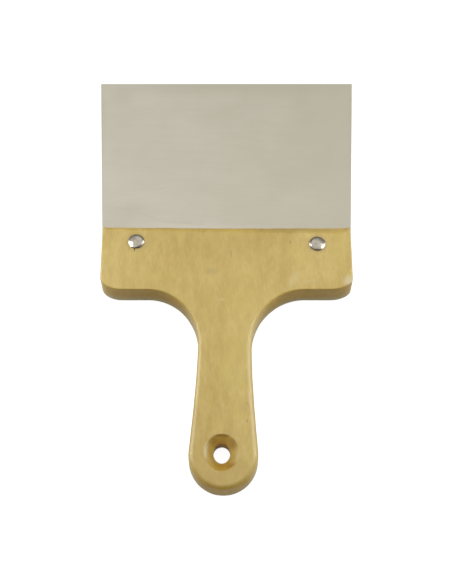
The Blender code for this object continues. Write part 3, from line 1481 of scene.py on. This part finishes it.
@dataclass
class RivetMaker:
    """The four rivet halves, which one geometry tree turns from a profile.

    Attributes:
        rivets: The rivets' (x, y) places by side.
        wood: The heights of the handle's back and front faces.
        head_radius: The heads' radius.
        head_rise: The heads' height.
    """

    rivets: Mapping[Side, Point]
    wood: Point
    head_radius: float
    head_rise: float

    rim_height: float = 0.25 * MM
    crown_power: float = 2.3
    crown_fall: float = 0.72
    dent_depth: float = 0.12 * MM
    dent_scale: float = 260.0
    seat_gap: float = 0.01 * MM
    tube_radius: float = 2.75 * MM
    pin_radius: float = 1.5 * MM
    tube_length: float = 16.5 * MM
    pin_length: float = 15.5 * MM
    chamfer: float = 0.3 * MM
    crown_rings: int = 22
    round_steps: int = 72
    sharp_angle: float = math.radians(40.0)

    left_crown: Crown = Crown(
        tilt=(0.05, 0.02, 0.0),
        shift=(0.3 * MM, 0.4 * MM, 0.0),
        flat_place=(-3.3 * MM, -0.5 * MM, 1.24 * MM),
        flat_heading=(-0.361, -0.23, 0.904),
    )
    right_crown: Crown = Crown(
        tilt=(-0.03, 0.03, 0.0),
        shift=(-0.3 * MM, 0.2 * MM, 0.0),
        flat_place=(4.25 * MM, -1.6 * MM, 0.74 * MM),
        flat_heading=(0.360, -0.242, 0.901),
    )

    def ring_profile(self, group: Group, ring: Socket) -> list[Socket]:
        """Work out a ring's radius and height: first the crown's, then the rim's and the shank's.

        Args:
            group: The rivet's group.
            ring: The ring's number.

        Returns:
            The radius and the height.
        """
        take = group.take
        share = group.math("DIVIDE", ring, float(self.crown_rings), clamp=True)
        spread = group.math("SINE", group.times(share, math.pi / 2))
        crown_radius = group.times(take["head_radius"], spread)
        bulge = group.minus(1.0, group.math("POWER", spread, take["crown_power"]))
        fall = group.math("POWER", group.math("MAXIMUM", bulge, 0.0), take["crown_fall"])
        dome = group.minus(take["head_rise"], take["rim_height"])
        crown_height = group.math("MULTIPLY_ADD", dome, fall, take["rim_height"])
        bottom = group.times(take["shank_length"], -1.0)
        low = group.plus(bottom, self.chamfer)
        shank = take["shank_radius"]
        radii = [take["head_radius"], shank, shank, group.minus(shank, self.chamfer), 0.0]
        heights = [0.0, 0.0, low, bottom, bottom]
        step = group.minus(ring, self.crown_rings + 1.0)
        past = group.math("GREATER_THAN", ring, self.crown_rings + 0.5)
        results = []
        for crown, rest in ((crown_radius, radii), (crown_height, heights)):
            pick = group.node("GeometryNodeIndexSwitch", data_type="FLOAT")
            while len(pick.index_switch_items) < len(rest):
                pick.index_switch_items.new()
            group.feed(pick.inputs["Index"], step)
            for number, value in enumerate(rest):
                group.feed(pick.inputs[number + 1], value)
            inputs = {"Switch": past, "False": crown, "True": pick.outputs[0]}
            results.append(group.node("GeometryNodeSwitch", inputs, input_type="FLOAT").outputs[0])
        return results

    @staticmethod
    def dents(group: Group, spot: Socket, crown: Socket) -> Socket:
        """Work out how far the riveting tool dented the crown at a point.

        Args:
            group: The rivet's group.
            spot: The point's place.
            crown: 1 in the middle of the crown and 0 from the rim on.

        Returns:
            The height to add.
        """
        take = group.take
        shifted = group.vector("ADD", spot, take["dent_seed"])
        inputs = {"Vector": shifted, "Scale": take["dent_scale"], "Detail": 1.0}
        lumps = group.node("ShaderNodeTexNoise", inputs).outputs["Fac"]
        level = group.times(group.minus(lumps, 0.5), group.times(take["dent_depth"], 2.0))
        return group.times(level, crown)

    @staticmethod
    def facet(group: Group, spot: Socket) -> Socket:
        """Press the flat that the riveting tool left on the crown.

        Args:
            group: The rivet's group.
            spot: The point's place.

        Returns:
            The place, moved down on to the flat where it stood above it.
        """
        heading = group.vector("NORMALIZE", group.take["facet_heading"])
        away = group.vector("SUBTRACT", spot, group.take["facet_place"])
        above = group.vector("DOT_PRODUCT", away, heading, output="Value")
        sink = group.times(group.math("MAXIMUM", above, 0.0), -1.0)
        return group.vector("ADD", spot, group.scaled(heading, sink))

    def tree(self) -> Tree:
        """Wire the turned rivet half.

        Returns:
            The tree.
        """
        head = {"head_radius": 0.005, "head_rise": 0.002, "rim_height": 0.0003}
        crown = {"crown_power": 2.5, "crown_fall": 0.7, "tilt": ORIGIN, "crown_shift": ORIGIN}
        facet = {"facet_place": (0.0, 0.0, 0.01), "facet_heading": (0.0, 0.0, 1.0)}
        dents = {"dent_depth": 0.0001, "dent_scale": 250.0, "dent_seed": ORIGIN}
        rest = {"shank_radius": 0.002, "shank_length": 0.01, "place": ORIGIN, "facing": ORIGIN}
        shape = head | crown | facet | dents | rest
        group = Group("turned_rivet", "Geometry", **shape, plate=None)
        take = group.take
        rings, steps = self.crown_rings + 6, self.round_steps
        counts = {"Vertices X": rings, "Vertices Y": steps + 1}
        grid = group.node("GeometryNodeMeshGrid", {"Size X": 1.0, "Size Y": 1.0} | counts)
        number = group.node("GeometryNodeInputIndex").outputs[0]
        ring = group.math("FLOOR", group.math("DIVIDE", group.plus(number, 0.5), steps + 1.0))
        step = group.minus(number, group.times(ring, steps + 1.0))
        angle = group.times(step, math.tau / steps)
        radius, height = self.ring_profile(group, ring)
        x = group.times(radius, group.math("COSINE", angle))
        y = group.times(radius, group.math("SINE", angle))
        level_spot = group.combined(x, y, 0.0)
        share = group.math("DIVIDE", radius, take["head_radius"])
        above = group.math("GREATER_THAN", height, group.times(take["rim_height"], 0.9))
        on_crown = group.times(group.remap(share, 1.0, 0.6), above)
        dent = self.dents(group, level_spot, on_crown)
        lean = group.vector("DOT_PRODUCT", level_spot, take["tilt"], output="Value")
        raised = group.plus(height, group.plus(dent, group.times(lean, on_crown)))
        shift = group.scaled(take["crown_shift"], on_crown)
        spot = group.vector("ADD", group.combined(x, y, raised), shift)
        inputs = {"Geometry": grid.outputs["Mesh"], "Position": self.facet(group, spot)}
        shaped = group.node("GeometryNodeSetPosition", inputs).outputs[0]
        inputs = {"Geometry": shaped, "Distance": MERGE_DISTANCE}
        closed = group.node("GeometryNodeMergeByDistance", inputs).outputs[0]
        placed = group.moved(closed, take["place"], take["facing"])
        return group.close_mesh(placed, take["plate"])

    def build(self, plate: Material) -> dict[str, Piece]:
        """Make the four halves.

        Args:
            plate: Their finish.

        Returns:
            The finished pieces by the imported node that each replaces.
        """
        tree = self.tree()
        back, front = self.wood
        fields = ("head_radius", "head_rise", "rim_height", "crown_power", "crown_fall")
        fields += ("dent_depth", "dent_scale")
        shared = {name: getattr(self, name) for name in fields}
        pieces = {}
        for number, (side, place) in enumerate(self.rivets.items()):
            crown = self.left_crown if side is Side.LEFT else self.right_crown
            for half in RivetHalf:
                tube = half is RivetHalf.TUBE
                seat = front + self.seat_gap if tube else back - self.seat_gap
                node = f"rivet_{half.value}_{side.value}"
                piece = grow(
                    f"{node}_head",
                    tree,
                    place=Vector((*place, seat)),
                    facing=Vector((0.0 if tube else math.pi, 0.0, 0.0)),
                    tilt=Vector(crown.tilt),
                    shank_radius=self.tube_radius if tube else self.pin_radius,
                    shank_length=self.tube_length if tube else self.pin_length,
                    crown_shift=Vector(crown.shift),
                    facet_place=Vector(crown.flat_place),
                    facet_heading=Vector(crown.flat_heading),
                    dent_seed=Vector((0.013 * number, 0.007 if tube else 0.019, 0.0)),
                    plate=plate,
                    **shared,
                )
                self.make_outward(piece)
                shade(piece, self.sharp_angle)
                pieces[node] = piece
        return pieces

    @staticmethod
    def make_outward(piece: Piece) -> None:
        """Turn all of a closed piece's faces outwards.

        Args:
            piece: The piece.
        """
        solid = bmesh.new()
        solid.from_mesh(piece.data)
        bmesh.ops.recalc_face_normals(solid, faces=solid.faces)
        solid.to_mesh(piece.data)
        solid.free()


@dataclass(frozen=True)
class SoftBox:
    """One soft white light, aimed at the tool.

    Attributes:
        name: The light's name.
        heading: The way from the tool to the light.
        distance: How far off it stands.
        size: Its width and height.
        radiance: How bright its face is.
    """

    name: str
    heading: Place
    distance: float
    size: Point
    radiance: float

    def place(self, target: Vector) -> None:
        """Put the light into the scene.

        Args:
            target: The point that it shines at.
        """
        light = bpy.data.lights.new(self.name, "AREA")
        light.shape = "RECTANGLE"
        light.size, light.size_y = self.size
        light.energy = self.radiance * math.pi * self.size[0] * self.size[1]
        lamp = link_object(self.name, light)
        way = Vector(self.heading).normalized()
        lamp.location = target + way * self.distance
        lamp.rotation_euler = way.to_track_quat("Z", "Y").to_euler()


@dataclass
class Studio:
    """The pale floor, the soft light and the camera.

    Attributes:
        target: The point that the camera looks at.
    """

    target: Vector

    distance: float = 778.1 * MM
    tilt: float = math.radians(26.0)
    sensor: float = 36.0
    lens: float = 73.972603
    clip: Point = (0.01, 100.0)

    floor_size: float = 12.0
    floor_colour: Colour = (0.62, 0.61, 0.59)
    floor_roughness: float = 0.9
    floor_glow: float = 0.90
    floor_mirrored: float = 0.12
    sky_bright: Colour = (1.0, 0.985, 0.95)
    sky_dim: Colour = (0.24, 0.235, 0.225)
    sky_dark: Colour = (0.10, 0.09, 0.07)
    sky_heading: Place = (0.0, 0.14, 0.99)
    dark_heading: Place = (0.12, -0.66, 0.74)
    light_target: Place = (0.0, 0.0, 0.02)

    def camera(self) -> None:
        """Set up the camera, behind the handle's end and above it."""
        data = bpy.data.cameras.new("camera")
        data.sensor_width, data.lens = self.sensor, self.lens
        data.clip_start, data.clip_end = self.clip
        camera = link_object("camera", data)
        way = Vector((0.0, -math.sin(self.tilt), math.cos(self.tilt)))
        camera.location = self.target + way * self.distance
        camera.rotation_euler = (self.tilt, 0.0, 0.0)
        bpy.context.scene.camera = camera

    def floor(self) -> None:
        """Lay the floor, which glows evenly like a light table and takes a faint shadow."""
        solid = bmesh.new()
        bmesh.ops.create_grid(solid, x_segments=8, y_segments=8, size=self.floor_size / 2)
        floor = object_from_bmesh("floor", solid)
        material, graph, shader = start_material("pale_floor")
        shader.inputs["Base Color"].default_value = (*self.floor_colour, 1.0)
        shader.inputs["Roughness"].default_value = self.floor_roughness
        glow = {"Color": (*WHITE, 1.0), "Strength": self.floor_glow}
        emission = graph.node("ShaderNodeEmission", glow).outputs[0]
        matt = shader.outputs[0]
        glowing = graph.node("ShaderNodeAddShader", {0: matt, 1: emission}).outputs[0]
        rays = graph.node("ShaderNodeLightPath").outputs
        mirrored = graph.times(rays["Is Glossy Ray"], self.floor_mirrored)
        seen = graph.math("MAXIMUM", rays["Is Camera Ray"], mirrored)
        chosen = graph.node("ShaderNodeMixShader", {0: seen, 1: matt, 2: glowing}).outputs[0]
        graph.feed(material.node_tree.nodes["Material Output"].inputs["Surface"], chosen)
        floor.data.materials.append(material)

    def sky(self) -> None:
        """Light the room: bright overhead, dimmer towards the horizon and behind the camera."""
        world = bpy.data.worlds.new("studio")
        world.use_nodes = True
        bpy.context.scene.world = world
        graph = Graph(world.node_tree)
        way = graph.node("ShaderNodeTexCoord").outputs["Generated"]
        nearness, towards = (
            graph.vector("DOT_PRODUCT", way, Vector(heading).normalized(), output="Value")
            for heading in (self.sky_heading, self.dark_heading)
        )
        overhead = graph.remap(nearness, 0.50, 0.92)
        behind = graph.remap(towards, 0.86, 0.95)
        lighting = graph.mix(overhead, self.sky_dim, self.sky_bright)
        lighting = graph.mix(behind, lighting, self.sky_dark)
        seen = graph.node("ShaderNodeLightPath").outputs["Is Camera Ray"]
        background = world.node_tree.nodes["Background"]
        graph.feed(background.inputs["Color"], graph.mix(seen, lighting, WHITE))

    def lights(self) -> None:
        """Stand a soft box and a large panel on each side, a little ahead of the tool."""
        for box in (
            SoftBox("left_box", (-0.74, 0.10, 0.64), 0.62, (0.20, 0.24), 4.0),
            SoftBox("right_box", (0.74, 0.10, 0.64), 0.62, (0.20, 0.24), 4.0),
            SoftBox("left_panel", (-0.95, 0.30, 0.08), 0.9, (0.45, 0.50), 4.0),
            SoftBox("right_panel", (0.95, 0.30, 0.08), 0.9, (0.45, 0.50), 3.8),
        ):
            box.place(Vector(self.light_target))

    def build(self) -> None:
        """Set up everything around the tool."""
        bpy.context.scene.view_settings.view_transform = "Standard"
        self.camera()
        self.floor()
        self.sky()
        self.lights()


def rivet_places() -> dict[Side, Point]:
    """Read the rivets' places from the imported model.

    Returns:
        The (x, y) places by side.
    """
    places = {}
    for side in Side:
        low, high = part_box(f"rivet_tube_{side.value}")
        middle = (low + high) / 2
        places[side] = (middle.x, middle.y)
    return places


def hole_place() -> Point:
    """Read the hanging hole's place from the record.

    Returns:
        Its (x, y) place.
    """
    for mount in frame["record"]["mounts"]:
        if mount["name"] == "hanging_hole":
            return tuple(mount["pos_m"][:2])
    raise LookupError("the record has no hanging hole")


def main() -> None:
    """Build the tool and the studio around it."""
    effects = Effects.build()
    places = rivet_places()
    wood_low, wood_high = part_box("handle")
    blade_low, blade_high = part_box("blade")
    head_low, head_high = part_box("rivet_tube_left")

    middle = sum(corner.y for corner in CAD_BOUNDS) / 2
    Studio(Vector((-0.35 * MM, middle - 19.4 * MM, wood_high.z))).build()

    sheet = (blade_low.z, blade_high.z)
    handle = Handle(wood_low, wood_high, sheet, blade_low.y, places, hole_place())
    wood = handle.finish(LacqueredHardwood(), effects)
    finish_piece(handle.build(wood), "handle")

    blade = Blade(blade_low, blade_high, places, wood_high.y)
    steel = SatinSteel().make(effects, blade.marks(), blade_low.x, blade_high.x)
    finish_piece(blade.build(steel), "blade")

    head_radius = (head_high.x - head_low.x) / 2 - 0.15 * MM
    head_rise = head_high.z - wood_high.z - 0.3 * MM
    rivets = RivetMaker(places, (wood_low.z, wood_high.z), head_radius, head_rise)
    for node, piece in rivets.build(NickelPlate().make(effects)).items():
        finish_piece(piece, node)


if __name__ == "__main__":
    main()
